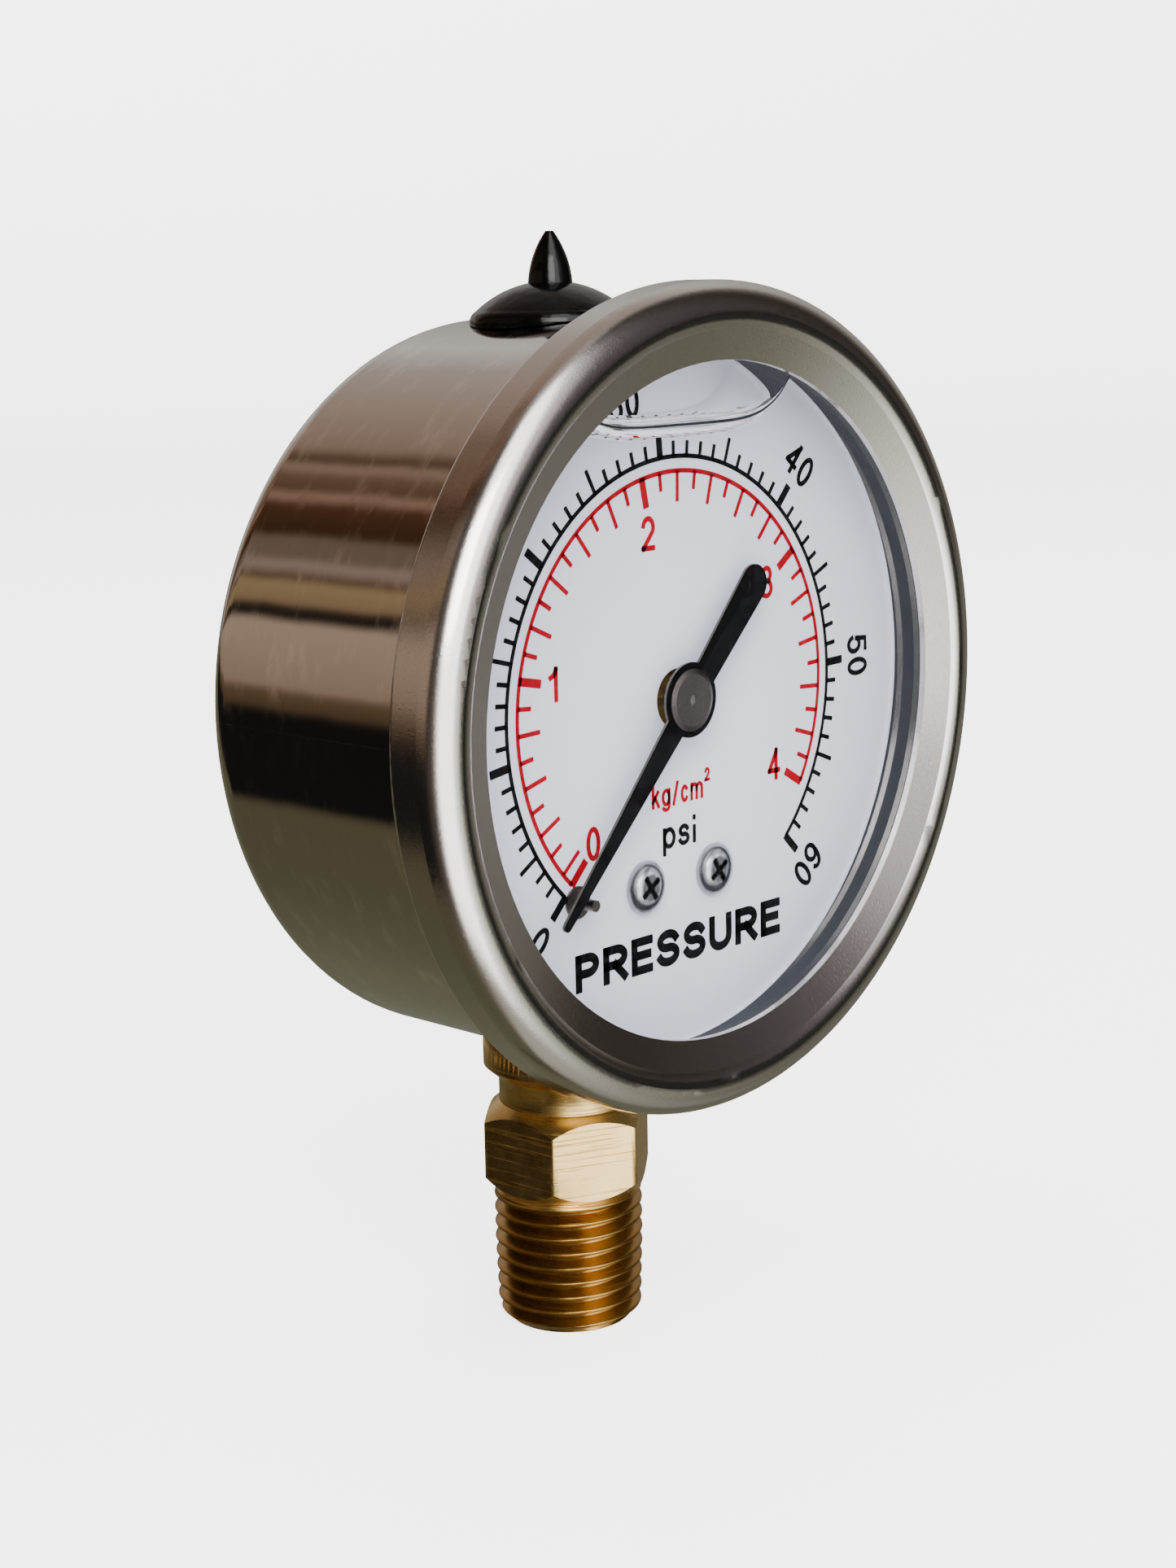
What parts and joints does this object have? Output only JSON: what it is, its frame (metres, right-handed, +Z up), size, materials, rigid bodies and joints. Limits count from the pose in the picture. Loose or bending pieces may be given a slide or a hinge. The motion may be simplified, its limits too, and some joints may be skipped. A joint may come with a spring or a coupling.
{
  "type": "pressure gauge",
  "caption": "Round liquid-filled dial pressure gauge with a rolled steel bezel, rubber filling plug and a threaded brass socket at the bottom.",
  "frame": {"origin": "centre of the socket's threaded end face, at the mouth of the pressure inlet", "axes": "+Z up the socket to the filling plug, the dial faces -Y, +X to the right of someone reading the dial"},
  "size_m": [0.0704, 0.0316, 0.0989],
  "materials": {
    "case_steel": "drawn stainless sheet, polished round the wall",
    "bezel_steel": "spun stainless ring, fine satin",
    "window_glass": "clear flat safety glass",
    "gasket_rubber": "smooth black moulded rubber",
    "dial_white": "matt white printed aluminium",
    "plated_screw": "bright zinc or nickel plate",
    "brass_socket": "machined brass bar, turned and milled",
    "brass_turned": "fine turned brass",
    "brass_sheet": "blanked brass sheet",
    "spring_steel": "ground steel",
    "bronze_tube": "drawn phosphor bronze",
    "pointer_black": "satin black stoved paint",
    "plug_rubber": "glossy black moulded rubber"
  },
  "bodies": {
    "case": {"case_cup": "case_steel", "bezel_ring": "bezel_steel", "window": "window_glass", "window_gasket": "gasket_rubber", "dial": "dial_white", "dial_screws": "plated_screw", "dial_spacers": "brass_turned", "stop_pin": "plated_screw", "socket": "brass_socket", "socket_oring": "gasket_rubber", "socket_retaining_ring": "spring_steel", "restrictor_screw": "brass_turned", "bourdon_tube": "bronze_tube", "movement_front_plate": "brass_sheet", "movement_back_plate": "brass_sheet", "movement_pillars": "brass_turned", "pillar_screws": "plated_screw", "movement_screws": "plated_screw", "hairspring": "bronze_tube", "hairspring_stud": "brass_turned"},
    "pointer": {"pointer": "pointer_black", "pointer_bushing": "plated_screw", "pinion_arbor": "spring_steel", "hairspring_collet": "brass_turned"},
    "sector": {"sector_gear": "brass_sheet", "sector_arbor": "spring_steel", "sector_pin": "plated_screw"},
    "tube_end": {"tube_tip": "brass_turned", "tip_pin": "plated_screw"},
    "link": {"link": "brass_sheet"},
    "plug": {"fill_plug": "plug_rubber"}
  },
  "joints": [
    {"name": "pointer_sweep", "type": "hinge", "parent": "case", "child": "pointer", "pos_m": [0, -0.009, 0.0594], "axis": [0, 1, 0], "range_deg": [0, 272], "stiffness_Nm_per_rad": 0.0002, "springref_deg": -17.19, "deforming": ["hairspring"]},
    {"name": "sector_swing", "type": "hinge", "parent": "case", "child": "sector", "pos_m": [0.0063, -0.0027, 0.04849], "axis": [0, 1, 0], "range_deg": [-30.5, 0]},
    {"name": "tube_tip_flex", "type": "hinge", "parent": "case", "child": "tube_end", "pos_m": [-0.00285, 0.0003, 0.065], "axis": [0, 1, 0], "range_deg": [-6.1, 0], "deforming": ["bourdon_tube"]},
    {"name": "link_swing", "type": "hinge", "parent": "tube_end", "child": "link", "pos_m": [0.01504, -0.0037, 0.05393], "axis": [0, 1, 0], "range_deg": [0, 4.8]},
    {"name": "fill_plug_pull", "type": "slide", "parent": "case", "child": "plug", "axis": [0, 0, 1], "range_m": [0, 0.014]}
  ],
  "couplings": [
    {"joint": "sector_swing", "follows": "pointer_sweep", "ratio": -0.11111},
    {"joint": "tube_tip_flex", "follows": "pointer_sweep", "ratio": -0.022059},
    {"joint": "link_swing", "follows": "pointer_sweep", "ratio": 0.017169}
  ]
}
